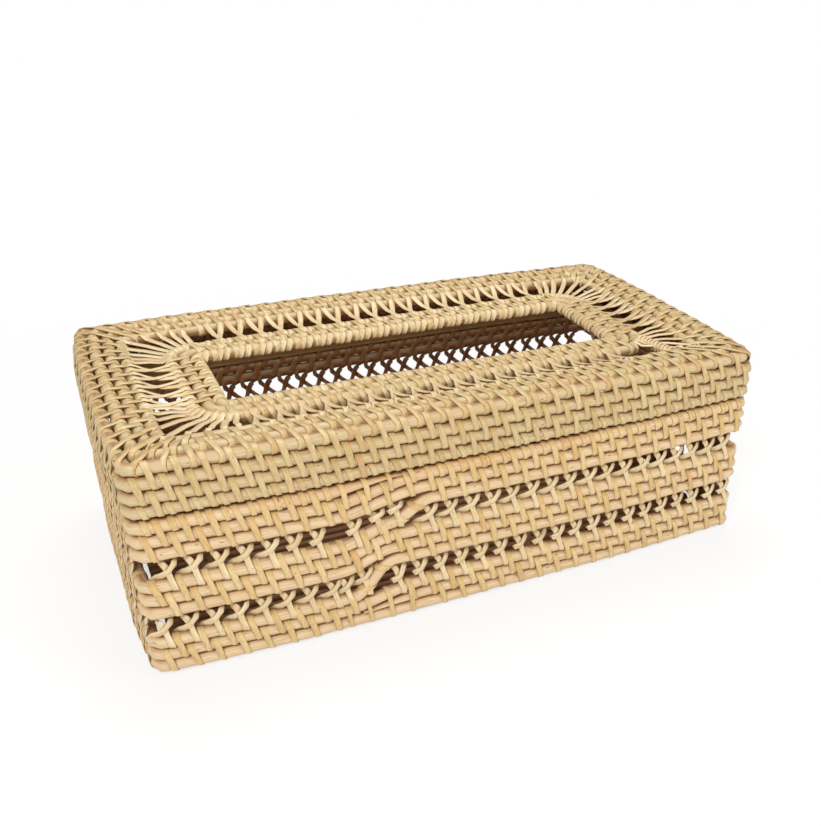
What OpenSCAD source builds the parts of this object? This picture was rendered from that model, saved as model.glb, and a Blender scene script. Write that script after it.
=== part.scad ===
/* [Box] */
// Length of the box over the middle of its bowed ends
box_length = 261; // [240:1:300]
// Width of the box over the middle of its bowed sides
box_width = 143; // [136:1:180]
// How far the middle of a long side stands out past its corners
side_bow = 2.6; // [1.5:0.1:4]
// How far the middle of a short end stands out past its corners
end_bow = 2.2; // [1.5:0.1:3]
// Inside radius to which the wall canes bend at the corners
bend_inside = 2.7; // [2.2:0.1:5]
// Inside radius of the tightest bends, in the top and round the slot
tight_inside = 0.8; // [0.6:0.1:2]
// Radius of the soft bends where the sides and ends start to draw in
soft_bend = 60; // [55:1:90]

/* [Cane] */
// Diameter of the cane coiled into the base
base_cane = 4.7; // [4.2:0.1:5.2]
// Diameter of the cane coiled into the lid
lid_cane = 4.4; // [4:0.1:4.8]

/* [Binding] */
// Width of the flat peel strip that lashes the canes
strip_width = 2.8; // [2.4:0.1:3]
// Thickness of the peel strip
strip_thick = 0.5; // [0.35:0.05:0.6]
// Play between a strip and the cane it passes
strip_play = 0.1; // [0.08:0.01:0.14]
// Least gap between two strips side by side
strip_gap = 0.1; // [0.08:0.01:0.3]

/* [Base] */
// Clear height of each open row in the base wall
open_row = 8.2; // [7:0.1:10]
// Radius to which a cane bends where it starts and ends a climb
climb_bend = 6; // [5:0.5:8]
// Height that the flat band inside the rim rises above the rim cane
collar_rise = 7; // [4:0.5:9]
// Thickness of the flat band inside the rim
collar_thick = 1.6; // [1.2:0.1:2.4]
// Play between the flat band and the lashings round it
collar_play = 0.5; // [0.4:0.1:0.8]

/* [Lid] */
// Clear width of the open row in the lid's top
lid_open_row = 12; // [10:0.5:12.5]
// How far the edge cane is set in and down to round the lid's edge
edge_ease = 1.2; // [0.6:0.1:1.6]
// Play between the lid's lowest lashings and the base's rim
lid_seat = 0.3; // [0.3:0.05:0.6]
// Diameter of the short cane that steps across the lid's open row
step_cane = 3.4; // [3:0.1:3.8]

/* [Floor] */
// Diameter of the floor's canes
floor_cane = 4; // [3.5:0.1:4.6]
// Thickness of the battens that the box stands on
batten_thick = 2; // [1.8:0.1:3]
// Width of a batten
batten_width = 8; // [6:0.5:12]
// Play between the floor and the wall's lashings
floor_play = 0.4; // [0.3:0.05:0.8]
// Height of the wall's lowest lashings over the resting plane
foot_drop = 0.2; // [0.1:0.05:0.4]

/* [Hidden] */

// Facets round a cane's section and along a bend, where a preview is drawn
cane_fn = 24;
bend_fn = 10;
soft_bend_fn = 4;
// Colours of base cane, lid cane, strip, pale strip and shaded wood
cane_colour = [0.86, 0.77, 0.57];
lid_colour = [0.83, 0.77, 0.58];
strip_colour = [0.85, 0.72, 0.45];
pale_colour = [0.91, 0.84, 0.64];
band_colour = [0.72, 0.58, 0.38];

// What a strip adds to a cane's radius, and the gap between two lashed canes
skin = strip_play + strip_thick;
between = strip_thick + 2 * strip_play;
base_pitch = base_cane + between;
lid_pitch = lid_cane + between;
floor_pitch = floor_cane + between;
base_r = base_cane / 2;
lid_r = lid_cane / 2;
floor_r = floor_cane / 2;

// Three strips side by side make one space, so that three rows of lashings can
// pass the same gap between two canes, each shifted by a third of a space
space = 3 * (strip_width + strip_gap);
// How far a strand of an open row leans to each side of upright, feet side by side
strand_lean = space / 2 - strip_width - strip_gap;
strand_half = strand_lean + strip_width / 2;

// Half length of the straight middle of a side and of an end, counted in spaces
side_flat = 8 * space;
end_flat = 4 * space;

// Every hoop runs parallel to one outline: straight in the middle of each side,
// then a soft bend, a stretch that draws in, and the corner.
// A line: [0] distance from the centre, [1] half length of its straight middle,
// [2] angle of its soft bend
function soft_angle(run, bow) =
  let (rise = soft_bend - bow)
  atan2(run, rise) - atan2(sqrt(run * run + rise * rise - soft_bend * soft_bend), soft_bend);
side_line = [box_width / 2, side_flat, soft_angle(box_length / 2 - end_bow - side_flat, side_bow)];
end_line = [box_length / 2, end_flat, soft_angle(box_width / 2 - side_bow - end_flat, end_bow)];
lines = [side_line, end_line];
side_angle = side_line[2];
end_angle = end_line[2];
side_normal = [sin(side_angle), -cos(side_angle)];
end_normal = [cos(end_angle), -sin(end_angle)];
side_run = [cos(side_angle), sin(side_angle)];
end_run = [sin(end_angle), cos(end_angle)];
side_bend_centre = [side_flat, soft_bend - box_width / 2];
end_bend_centre = [box_length / 2 - soft_bend, -end_flat];
corner_point = [box_length / 2 - end_bow, side_bow - box_width / 2];

// A hoop's plan from its inset and its corner's bend radius: [0] inset,
// [1] bend radius, [2] centre of the front right corner's bend,
// [3] and [4] lengths of the stretches that draw in on the side and on the end
function plan(inset, bend) =
  let (
    k = corner_point - (inset + bend) * (side_normal + end_normal) / (1 + side_normal * end_normal)
  )
  [inset, bend, k, (k - side_bend_centre) * side_run, (end_bend_centre - k) * end_run];

// A place at distance t from the middle of a line, at an inset: [x, y, heading]
function place(line, inset, t) =
  let (
    r = soft_bend - inset,
    hand = sign(t),
    past = abs(t) - line[1],
    turned = min(line[2], max(0, past) * 180 / PI / r),
    rest = max(0, past - r * line[2] * PI / 180)
  )
  past <= 0 ? [t, inset - line[0], 0] :
  [hand * (line[1] + r * sin(turned) + rest * cos(turned)),
   soft_bend - line[0] - r * cos(turned) + rest * sin(turned),
   hand * turned];

// Distances from the middle of a side and of an end to where a hoop's corner
// starts, measured along the lines at another inset
function reaches(p, inset) = [
  side_flat + (soft_bend - inset) * side_angle * PI / 180 + p[3],
  end_flat + (soft_bend - inset) * end_angle * PI / 180 + p[4]
];

// Moves in two steps, whole millimetres first, so that no digit is lost
module at(p) {
  whole = [for (c = p) round(c)];
  translate(whole)
  translate(p - whole)
  children();
}

// A cane is hardly thicker in its bends, and its straight stretches reach a hair
// into the bends
bend_share = 1.01;
hair_share = 0.02;

// Round cane along an arc in plan
module arc(centre, r, from, to, steps, d) {
  at([centre[0], centre[1], 0])
  rotate(from)
  rotate_extrude(angle = to - from, $fn = ceil(360 * steps / (to - from)))
  at([r, 0])
  circle(d = bend_share * d, $fn = cane_fn);
}

// Round cane along a straight line from a point with a heading
module straight(start, heading, length, d) {
  hair = hair_share * d;
  at([start[0] - hair * cos(heading), start[1] - hair * sin(heading), 0])
  rotate([0, 90, heading])
  cylinder(h = length + 2 * hair, d = d, $fn = cane_fn);
}

module four_ways() {
  for (a = [0, 1])
    for (b = [0, 1])
      mirror([a, 0, 0])
      mirror([0, b, 0])
      children();
}

// A corner of a hoop from the end of the front's straight middle to the right's
module corner(p, d) {
  r = soft_bend - p[0];
  arc(side_bend_centre, r, -90, side_angle - 90, soft_bend_fn, d);
  straight(side_bend_centre + r * side_normal, side_angle, p[3], d);
  arc(p[2], p[1], side_angle - 90, -end_angle, bend_fn, d);
  straight(p[2] + p[1] * end_normal, 90 - end_angle, p[4], d);
  arc(end_bend_centre, r, -end_angle, 0, soft_bend_fn, d);
}

module straight_front(p, d) {
  straight([-side_flat, p[0] - box_width / 2], 0, 2 * side_flat, d);
}

// Everything of a hoop but the straight middle of its front
module hoop_behind(p, d) {
  four_ways() corner(p, d);
  mirror([0, 1, 0]) straight_front(p, d);
  for (a = [0, 1])
    mirror([a, 0, 0])
    straight([box_length / 2 - p[0], -end_flat], 90, 2 * end_flat, d);
}

module hoop(p, d) {
  hoop_behind(p, d);
  straight_front(p, d);
}

// The corners of a line's outline at an inset, the corner bends in steps
function corner_outline(inset, bend) =
  let (p = plan(inset, bend), turn = 90 - side_angle - end_angle)
  [for (i = [0 : bend_fn]) p[2] + bend * [cos(side_angle - 90 + turn * i / bend_fn),
                                          sin(side_angle - 90 + turn * i / bend_fn)]];
function flip(points, sx, sy) = [for (q = points) [sx * q[0], sy * q[1]]];
function back(points) = [for (i = [len(points) - 1 : -1 : 0]) points[i]];
module outline(inset, bend) {
  side_knee = [side_flat, inset - box_width / 2];
  end_knee = [box_length / 2 - inset, -end_flat];
  half = concat([side_knee], corner_outline(inset, bend), [end_knee]);
  right = concat(half, back(flip(half, 1, -1)));
  polygon(concat(right, back(flip(right, -1, 1))));
}

// Children stand at a place of a line, -Y outward and X along the cane
module stand(line, inset, t) {
  s = place(line, inset, t);
  translate([s[0], s[1], 0])
  rotate(s[2])
  children();
}

// Children repeat, one a space, on the four sides of a pair of lines at an inset, as
// far as the given ends. On the front they leave out the gap, if there is one
module repeat(pair, inset, ends, shift, half = strip_width / 2, gap = []) {
  for (k = [0, 1])
    for (i = [-ceil(ends[k] / space) : ceil(ends[k] / space)])
      for (turned = [0, 180])
        let (t = (i + shift) * space)
        if (abs(t) <= ends[k] - half)
          if (k == 1 || turned == 180 || len(gap) == 0 || t <= gap[0] - half || t >= gap[1] + half)
            rotate(turned + 90 * k)
            stand(pair[k], inset, t)
            children();
}

// Children at the middle of each of the four corners
module at_corners(p) {
  four_ways()
  translate([p[2][0], p[2][1], 0])
  rotate((side_angle - 90 - end_angle) / 2)
  translate([p[1], 0, 0])
  rotate(90)
  children();
}

module capsule(run, r) {
  circle(r, $fn = cane_fn);
  translate([run, 0]) circle(r, $fn = cane_fn);
  translate([0, -r]) square([run, 2 * r]);
}

// Loop of strip round two canes. The second lies inward dy and up dz of the first
module lashing(dy, dz, cane, width) {
  run = norm([dy, dz]);
  rotate([90, 0, 90])
  linear_extrude(width, center = true)
  rotate(atan2(dz, dy))
  difference() {
    capsule(run, cane / 2 + skin);
    capsule(run, cane / 2 + strip_play);
  }
}

// Loop of strip round one cane
module wrap(cane, width) {
  rotate([90, 0, 90])
  linear_extrude(width, center = true)
  difference() {
    circle(cane / 2 + skin, $fn = cane_fn);
    circle(cane / 2 + strip_play, $fn = cane_fn);
  }
}

// Flat strand that runs from x0 to x1 while it crosses a gap along Y
module strand(x0, x1, gap) {
  half = strip_width / 2;
  linear_extrude(strip_thick, center = true)
  polygon([[x0 - half, 0], [x0 + half, 0], [x1 + half, gap], [x1 - half, gap]]);
}

// Widest strip that clears a cane bent to an inside radius, with room to spare
function corner_strip(inside, d) =
  1.7 * sqrt(2 * inside * (strip_play - (bend_share - 1) * d / 2));

// Base

base_inset = skin + base_r;
base_plan = plan(base_inset, base_r + bend_inside);
base_ends = reaches(base_plan, base_inset);
front_y = base_inset - box_width / 2;

// Height of the base's canes, the foot cane first, in bands of three
foot_level = foot_drop + skin + base_r;
open_step = base_cane + open_row - base_pitch;
function level(k) = foot_level + k * base_pitch + floor(k / 3) * open_step;

// Where on the front a turn is spliced, starts to climb, steepens and levels out
splice_x = -7.75 * space;
splice_half = hair_share * base_cane + strip_gap / 2;
climb_x0 = -6.75 * space;
climb_x1 = -4.75 * space;
climb_x2 = -2.75 * space;
// Share of the climb over which the coil's start and end are thinned
taper_share = 0.75;
climb_slope = atan(base_pitch / (climb_x2 - climb_x0));
function climb_share(x) = (x - climb_x0) / (climb_x2 - climb_x0);
// The climb with what a cane's bend takes up at each end
climb_edge = climb_bend * tan(climb_slope / 2) + strip_gap;
climb_gap = [climb_x0 - climb_edge, climb_x2 + climb_edge];

// Round cane along points of a front view, each [x, z], bent at the inner points
module bent_cane(points) {
  last = len(points) - 1;
  dirs = [for (i = [0 : last - 1])
    atan2(points[i + 1][1] - points[i][1], points[i + 1][0] - points[i][0])];
  cuts = [for (i = [0 : last])
    i == 0 || i == last ? 0 : climb_bend * tan(abs(dirs[i] - dirs[i - 1]) / 2)];
  translate([0, front_y, 0])
  rotate([90, 0, 0]) {
    for (i = [0 : last - 1])
      straight(points[i] + cuts[i] * [cos(dirs[i]), sin(dirs[i])], dirs[i],
               norm(points[i + 1] - points[i]) - cuts[i] - cuts[i + 1], base_cane);
    for (i = [1 : 1 : last - 1])
      bend_at(points[i], dirs[i - 1], dirs[i], cuts[i]);
  }
}

// One bend of a cane in front view, from a heading to another
module bend_at(point, from, to, cut) {
  up = to > from ? 1 : -1;
  start = point - cut * [cos(from), sin(from)];
  centre = start + up * climb_bend * [-sin(from), cos(from)];
  if (up > 0)
    arc(centre, climb_bend, from - 90, to - 90, soft_bend_fn, base_cane);
  else
    arc(centre, climb_bend, to + 90, from + 90, soft_bend_fn, base_cane);
}

// Everything of a turn that lies level at height z, but its front's straight middle
module level_behind(z) {
  translate([0, 0, z]) hoop_behind(base_plan, base_cane);
}

// A turn's level part: round the back of the box, and on the front to its splice
module level_part(z) {
  level_behind(z);
  bent_cane([[-side_flat, z], [splice_x - splice_half, z]]);
}

// A turn's start and climb, from level k - 1 to level k. A turn that starts a new
// band climbs beside the one below at first, and then crosses the open row
module climb(k) {
  low = level(k - 1);
  high = level(k);
  bent_cane([
    [splice_x + splice_half, low],
    [climb_x0, low],
    if (k % 3 == 0) [climb_x1, low + base_pitch * climb_share(climb_x1)],
    [climb_x2, high],
    [side_flat, high]
  ]);
}

// What is cut away of the thinned start or end, above (-1) or below (1) a slope
// that lies off from the climb's line at height z
module taper_cut(z, off, hand) {
  far = 2 * base_cane;
  a = z + hand * off / cos(climb_slope);
  ends = [climb_x0 - base_cane, climb_x2 + base_cane];
  translate([0, front_y, 0])
  rotate([90, 0, 0])
  linear_extrude(far, center = true)
  polygon([
    [ends[0], a + base_pitch * climb_share(ends[0])],
    [ends[1], a + base_pitch * climb_share(ends[1])],
    [ends[1], a - hand * far],
    [ends[0], a - hand * far]
  ]);
}

// First turn: its start is thinned from above and lies on the foot cane
module first_turn() {
  start = climb_x2 - taper_share * (climb_x2 - climb_x0);
  difference() {
    bent_cane([[start, level(1)], [side_flat, level(1)]]);
    taper_cut(level(1), base_r + between, -1);
  }
  level_part(level(1));
}

// Last turn: its end is thinned from below and lies on its own climb
module last_turn() {
  stop = climb_x0 + taper_share * (climb_x2 - climb_x0);
  climb(8);
  level_behind(level(8));
  difference() {
    bent_cane([[-side_flat, level(8)], [stop, level(8)]]);
    taper_cut(level(7), base_r + between, 1);
  }
}

// Lashings of canes k and k + 1, with the corners lashed where shift is 0
module base_row(k, shift) {
  translate([0, 0, level(k)])
  repeat(lines, base_inset, base_ends, shift, gap = climb_gap)
  lashing(0, base_pitch, base_cane, strip_width);
  if (shift == 0)
    translate([0, 0, level(k)])
    at_corners(base_plan)
    lashing(0, base_pitch, base_cane, corner_strip(bend_inside, base_cane));
}

// Children on the climb at a place counted in spaces, over level k
module on_climb(k, u) {
  x = u * space;
  translate([x, front_y, level(k) + base_pitch * climb_share(x)])
  rotate([0, -climb_slope, 0])
  children();
}

// Lashings of two canes that climb side by side, the lower one from level k
module climbing_lashings(k, spots) {
  for (u = spots)
    on_climb(k, u)
    lashing(0, base_pitch * cos(climb_slope), base_cane, strip_width);
}

// Narrow lashing across the thinned start or end, tilted by half the slope
module taper_lashing(x, low, run) {
  translate([x, front_y, low])
  rotate([0, -climb_slope / 2, 0])
  lashing(0, run / cos(climb_slope / 2), base_cane, strip_width / 2);
}

module base_foot_cane() {
  color(cane_colour) translate([0, 0, level(0)]) hoop(base_plan, base_cane);
}
module coil_turn(k) {
  color(cane_colour) {
    climb(k);
    level_part(level(k));
  }
}
module base_turn_1() { color(cane_colour) first_turn(); }
module base_turn_2() { coil_turn(2); }
module base_turn_3() { coil_turn(3); }
module base_turn_4() { coil_turn(4); }
module base_turn_5() { coil_turn(5); }
module base_turn_6() { coil_turn(6); }
module base_turn_7() { coil_turn(7); }
module base_turn_8() { color(cane_colour) last_turn(); }

// Shifts of the rows of lashings that aren't lashed at the corners
foot_shift_share = 1 / 2;
upper_shift_share = 1 / 3;
module base_lashing_1() {
  color(strip_colour) {
    base_row(0, foot_shift_share);
    for (u = [-6.5, -5.5, -4.5, -3.5])
      taper_lashing(u * space, level(0),
                    base_pitch * (1 + climb_share(u * space)) * cos(climb_slope));
  }
}
module base_lashing_2() {
  color(strip_colour) {
    base_row(1, 0);
    climbing_lashings(1, [-5.97, -4.97]);
  }
}
module base_lashing_3() {
  color(strip_colour) {
    base_row(3, 0);
    climbing_lashings(3, [-6.3, -5.3, -3.5]);
  }
}
module base_lashing_4() {
  color(strip_colour) {
    base_row(4, upper_shift_share);
    climbing_lashings(4, [-5.97, -4.97]);
  }
}
module base_lashing_5() {
  color(strip_colour) {
    base_row(6, upper_shift_share);
    climbing_lashings(6, [-6.3, -5.3, -4.3, -3.3]);
  }
}
module base_lashing_6() {
  color(strip_colour) {
    base_row(7, 0);
    for (u = [-6, -5, -4, -3])
      taper_lashing(u * space, level(7) + base_pitch * climb_share(u * space),
                    base_pitch * (1 - climb_share(u * space)));
  }
}
module base_rim_wraps() {
  color(pale_colour)
  translate([0, 0, level(8)])
  repeat(lines, base_inset, base_ends, 2 / 3, gap = climb_gap)
  wrap(base_cane, strip_width - 2 * strip_gap);
}

// Crossing strands over a cane, one leaning each way, across a gap
module crossing_pair(gap) {
  for (hand = [-1, 1])
    translate([0, hand * (strip_thick + strip_play) / 2, base_r + strip_play / 2])
    rotate([90, 0, 0])
    strand(hand * strand_lean, -hand * strand_lean, gap - strip_play);
}
// The strands of the open row over cane k, and those at places on the climb
module base_strands(k, shift, spots) {
  color(pale_colour) {
    translate([0, 0, level(k)])
    repeat(lines, base_inset, base_ends, shift, half = strand_half, gap = climb_gap)
    crossing_pair(open_row);
    for (u = spots)
      on_climb(k, u)
      crossing_pair((base_cane + open_row) * cos(climb_slope) - base_cane);
  }
}
module base_lower_strands() { base_strands(2, 1 / 2, [-5.57]); }
module base_upper_strands() { base_strands(5, upper_shift_share + 1 / 2, [-5.57]); }

// Flat band inside the rim, that the lid's skirt slips down round
collar_inset = base_inset + base_r + skin + collar_play;
collar_low = level(7);
collar_high = level(8) + base_r + collar_rise;
module base_collar() {
  color(band_colour)
  translate([0, 0, collar_low])
  linear_extrude(collar_high - collar_low)
  difference() {
    outline(collar_inset, 2 * collar_thick);
    outline(collar_inset + collar_thick, collar_thick);
  }
}

// Floor

wall_clear = base_inset + base_r + skin + floor_play;
floor_half = box_width / 2 - side_bow - wall_clear;
floor_length = box_length - 2 * (end_bow + wall_clear + bend_inside);
floor_count = floor((2 * floor_half - floor_cane - 2 * skin) / floor_pitch) + 1;
floor_level = batten_thick + strip_play + floor_r;
function floor_y(j) = (j - (floor_count - 1) / 2) * floor_pitch;
// Places of the floor's lashing rows and battens, as shares of half the length
floor_row_shares = [-0.8, 0.25, 0.8];
batten_shares = [-0.5, 0, 0.5];
module floor_canes() {
  color(cane_colour)
  for (j = [0 : floor_count - 1])
    translate([-floor_length / 2, floor_y(j), floor_level])
    rotate([0, 90, 0])
    cylinder(h = floor_length, d = floor_cane, $fn = cane_fn);
}
module floor_lashings() {
  color(strip_colour)
  for (s = floor_row_shares)
    for (j = [0 : floor_count - 2])
      translate([s * floor_length / 2 + (j % 3 - 1) * (strip_width + strip_gap),
                 floor_y(j), floor_level])
      lashing(floor_pitch, 0, floor_cane, strip_width);
}
module floor_battens() {
  color(band_colour)
  for (s = batten_shares)
    translate([s * floor_length / 2 - batten_width / 2, wall_clear - box_width / 2, 0])
    cube([batten_width, box_width - 2 * wall_clear, batten_thick]);
}

// Lid

lid_inset = skin + lid_r;
edge_run = sqrt(lid_pitch * lid_pitch - edge_ease * edge_ease);
rim_top = level(8) + base_r + skin;
skirt_level = rim_top + lid_seat + skin + lid_r;
edge_level = skirt_level + 2 * lid_pitch + edge_run;
top_level = edge_level + edge_ease;
edge_inset = lid_inset + edge_ease;
top_inset = edge_inset + edge_run;
inner_inset = top_inset + 2 * lid_pitch;
slot_inset = inner_inset + lid_cane + lid_open_row;
tight = lid_r + tight_inside;

// The skirt and the edge bend round the same centres as the base's canes
wall_bend = base_inset + base_r + bend_inside;
skirt_plan = plan(lid_inset, wall_bend - lid_inset);
edge_plan = plan(edge_inset, wall_bend - edge_inset);
function top_plan(n) = plan(top_inset + n * lid_pitch, tight);

module lid_hoop(p, z) {
  color(lid_colour) translate([0, 0, z]) hoop(p, lid_cane);
}
module lid_skirt_cane_1() { lid_hoop(skirt_plan, skirt_level); }
module lid_skirt_cane_2() { lid_hoop(skirt_plan, skirt_level + lid_pitch); }
module lid_skirt_cane_3() { lid_hoop(skirt_plan, skirt_level + 2 * lid_pitch); }
module lid_edge_cane() { lid_hoop(edge_plan, edge_level); }
module lid_top_cane_1() { lid_hoop(top_plan(0), top_level); }
module lid_top_cane_2() { lid_hoop(top_plan(1), top_level); }
module lid_top_cane_3() { lid_hoop(top_plan(2), top_level); }

// The canes round the slot lie straight, and their corners share one centre
slot_corner = [box_length / 2, box_width / 2] - (slot_inset + 2 * lid_pitch + tight) * [1, 1];
slot_lines = [[box_width / 2, 0, 0], [box_length / 2, 0, 0]];
function slot_bend(n) = tight + (2 - n) * lid_pitch;
module slot_hoop(n) {
  r = slot_bend(n);
  x = slot_corner[0];
  y = slot_corner[1];
  color(lid_colour)
  translate([0, 0, top_level]) {
    four_ways() arc([x, -y], r, -90, 0, bend_fn, lid_cane);
    for (a = [0, 1]) {
      mirror([0, a, 0]) straight([-x, -y - r], 0, 2 * x, lid_cane);
      mirror([a, 0, 0]) straight([x + r, -y], 90, 2 * y, lid_cane);
    }
  }
}
module lid_slot_cane_1() { slot_hoop(0); }
module lid_slot_cane_2() { slot_hoop(1); }
module lid_slot_cane_3() { slot_hoop(2); }

// Lashings of the hoop at an inset to the one dy inward and dz up, as far as hoop p
// is straight. All the lid's rows are spaced along the line of the top's third cane
module lid_row(p, inset, z, dy, dz, shift) {
  color(strip_colour)
  translate([0, 0, z])
  repeat(lines, inner_inset, reaches(p, inner_inset), shift)
  translate([0, inset - inner_inset, 0])
  lashing(dy, dz, lid_cane, strip_width);
}
module lid_lashing_1() {
  lid_row(skirt_plan, lid_inset, skirt_level, 0, lid_pitch, 0);
  color(strip_colour)
  translate([0, 0, skirt_level])
  at_corners(skirt_plan)
  lashing(0, lid_pitch, lid_cane, corner_strip(skirt_plan[1] - lid_r, lid_cane));
}
module lid_lashing_2() {
  lid_row(skirt_plan, lid_inset, skirt_level + lid_pitch, 0, lid_pitch, 1 / 3);
}
module lid_lashing_3() {
  lid_row(skirt_plan, lid_inset, skirt_level + 2 * lid_pitch, edge_ease, edge_run, 2 / 3);
}
module lid_lashing_4() {
  lid_row(top_plan(0), edge_inset, edge_level, edge_run, edge_ease, 0);
}
module lid_lashing_5() {
  lid_row(top_plan(1), top_inset, top_level, lid_pitch, 0, 1 / 3);
}
module lid_lashing_6() {
  lid_row(top_plan(2), top_inset + lid_pitch, top_level, lid_pitch, 0, 2 / 3);
}

// Lashings of the slot's canes n and n + 1
module slot_row(n, shift) {
  color(strip_colour)
  translate([0, 0, top_level])
  repeat(slot_lines, slot_inset + n * lid_pitch, slot_corner, shift)
  lashing(lid_pitch, 0, lid_cane, strip_width);
}
module lid_lashing_7() { slot_row(0, 2 / 3); }
module lid_lashing_8() { slot_row(1, 0); }
module lid_slot_wraps() {
  color(pale_colour)
  translate([0, 0, top_level])
  repeat(slot_lines, slot_inset + 2 * lid_pitch, slot_corner, 1 / 3)
  wrap(lid_cane, strip_width);
}

// Crossing strands of the top's open row, halfway between the lashings beside it.
// A strand is shorter where the outer cane draws in
function draw_in(t) =
  place(side_line, inner_inset, abs(t) + strand_half)[1] - place(side_line, inner_inset, 0)[1];
module open_strand(line, t, hand, less) {
  stand(line, slot_inset, t)
  translate([0, -lid_r - strip_play / 2, hand * (strip_thick + strip_play) / 2])
  mirror([0, 1, 0])
  strand(-hand * strand_lean, hand * strand_lean, lid_open_row - strip_play - less);
}
module lid_strands() {
  last = ceil(slot_corner[0] / space);
  color(pale_colour)
  translate([0, 0, top_level])
  for (k = [0, 1])
    for (i = [-last : last])
      for (turned = [0, 180])
        for (hand = [-1, 1])
          let (t = (i + 1 / 6) * space)
          if (abs(t) <= slot_corner[k] - strand_half)
            rotate(turned + 90 * k)
            open_strand(slot_lines[k], t, hand, k == 0 ? draw_in(t) : 0);
}

// Strands fanned out round the corners of the inner band
fan_shares = [0.1, 0.25, 0.4, 0.6, 0.75, 0.9];
fan_centre = [slot_corner[0], -slot_corner[1]];
fan_start = slot_bend(0) + lid_r + strip_play;
inner_edge = inner_inset + lid_r + skin + strip_play;
// Distance from the fan's centre at angle a below the end's direction, to an edge
// with a normal that passes a point, for a strip of width w
function to_edge(normal, point, a, w) =
  let (d = [cos(a), -sin(a)])
  ((point - fan_centre) * normal - inner_edge - w / 2 * abs(cross(normal, d))) / (normal * d);
function fan_reach(a, w) = min(
  to_edge([1, 0], [box_length / 2, 0], a, w),
  to_edge([0, -1], [0, -box_width / 2], a, w),
  to_edge(side_normal, corner_point, a, w),
  to_edge(end_normal, corner_point, a, w)
) - fan_start;
module fan_strand(a, width) {
  rotate(-a)
  translate([fan_start, -width / 2, -strip_thick / 2])
  cube([fan_reach(a, width), width, strip_thick]);
}
module lid_corner_strands() {
  color(pale_colour)
  translate([0, 0, top_level])
  for (a = [0, 1])
    for (b = [0, 1])
      for (s = fan_shares)
        if (a + b > 0 || abs(s - 0.5) > 0.2)
          mirror([a, 0, 0])
          mirror([0, b, 0])
          translate([fan_centre[0], fan_centre[1], 0])
          fan_strand(90 * s, strip_width);
}

// Short cane that steps across the open row at the front right, wound with strip
step_length = fan_reach(45, step_cane);
step_wrap_shares = [1 / 6, 2 / 6, 3 / 6, 4 / 6, 5 / 6];
module at_step(share) {
  translate([fan_centre[0], fan_centre[1], top_level])
  rotate(-45)
  translate([fan_start + share * step_length, 0, 0])
  children();
}
module lid_step_cane() {
  color(lid_colour)
  at_step(0)
  rotate([0, 90, 0])
  cylinder(h = step_length, d = step_cane, $fn = cane_fn);
}
module lid_step_wraps() {
  color(pale_colour)
  for (s = step_wrap_shares)
    at_step(s)
    wrap(step_cane, step_length / 8);
}

base_foot_cane();
base_turn_1();
base_turn_2();
base_turn_3();
base_turn_4();
base_turn_5();
base_turn_6();
base_turn_7();
base_turn_8();
base_lashing_1();
base_lashing_2();
base_lashing_3();
base_lashing_4();
base_lashing_5();
base_lashing_6();
base_rim_wraps();
base_lower_strands();
base_upper_strands();
base_collar();
floor_canes();
floor_lashings();
floor_battens();
lid_skirt_cane_1();
lid_skirt_cane_2();
lid_skirt_cane_3();
lid_edge_cane();
lid_top_cane_1();
lid_top_cane_2();
lid_top_cane_3();
lid_slot_cane_1();
lid_slot_cane_2();
lid_slot_cane_3();
lid_step_cane();
lid_step_wraps();
lid_lashing_1();
lid_lashing_2();
lid_lashing_3();
lid_lashing_4();
lid_lashing_5();
lid_lashing_6();
lid_lashing_7();
lid_lashing_8();
lid_slot_wraps();
lid_strands();
lid_corner_strands();
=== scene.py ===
"""A coiled rattan tissue box cover: round canes, flat strips that lash them, open lace rows."""

import math

import bmesh
import bpy
import numpy as np
from mathutils import Matrix, Vector


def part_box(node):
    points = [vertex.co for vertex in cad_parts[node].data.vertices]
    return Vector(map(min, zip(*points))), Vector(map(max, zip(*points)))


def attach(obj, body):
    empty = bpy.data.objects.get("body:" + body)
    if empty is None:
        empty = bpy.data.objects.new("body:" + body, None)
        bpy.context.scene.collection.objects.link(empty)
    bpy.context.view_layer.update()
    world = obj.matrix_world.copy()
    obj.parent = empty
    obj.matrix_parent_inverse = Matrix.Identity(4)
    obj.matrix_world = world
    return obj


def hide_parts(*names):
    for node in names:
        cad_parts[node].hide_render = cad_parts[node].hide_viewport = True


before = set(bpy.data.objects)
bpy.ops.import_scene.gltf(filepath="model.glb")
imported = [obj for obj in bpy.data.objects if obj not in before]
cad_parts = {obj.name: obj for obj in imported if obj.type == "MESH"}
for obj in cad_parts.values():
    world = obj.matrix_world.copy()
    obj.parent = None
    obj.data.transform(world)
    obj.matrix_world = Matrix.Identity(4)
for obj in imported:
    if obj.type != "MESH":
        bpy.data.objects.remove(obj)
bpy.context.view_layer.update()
rng = np.random.default_rng(11)
MM = 0.001

# Sizes of the box in millimetres, as the solids have them
LENGTH, WIDTH = 261.0, 143.0
# How far the sides and the ends bow out, and the bend that eases each into its bow
SIDE_BOW, END_BOW = 2.6, 2.2
SOFT_BEND = 60.0
# Inside of the corner bends: of the walls' canes, and of the canes of the lid's top
BEND_INSIDE, TIGHT_INSIDE = 0.4, 0.8
BASE_CANE, LID_CANE = 4.7, 4.4
BASE_R, LID_R = BASE_CANE / 2, LID_CANE / 2
# A strip's play on a cane and its thickness, and what both keep free between two canes
PLAY, THICK = 0.1, 0.5
SKIN = PLAY + THICK
BETWEEN = THICK + 2 * PLAY
BASE_PITCH, LID_PITCH = BASE_CANE + BETWEEN, LID_CANE + BETWEEN
# From one stitch of a row to the next
SPACE = 8.7
SIDE_FLAT, END_FLAT = 8 * SPACE, 4 * SPACE
OPEN_ROW, LID_OPEN_ROW = 8.2, 12.0
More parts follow.
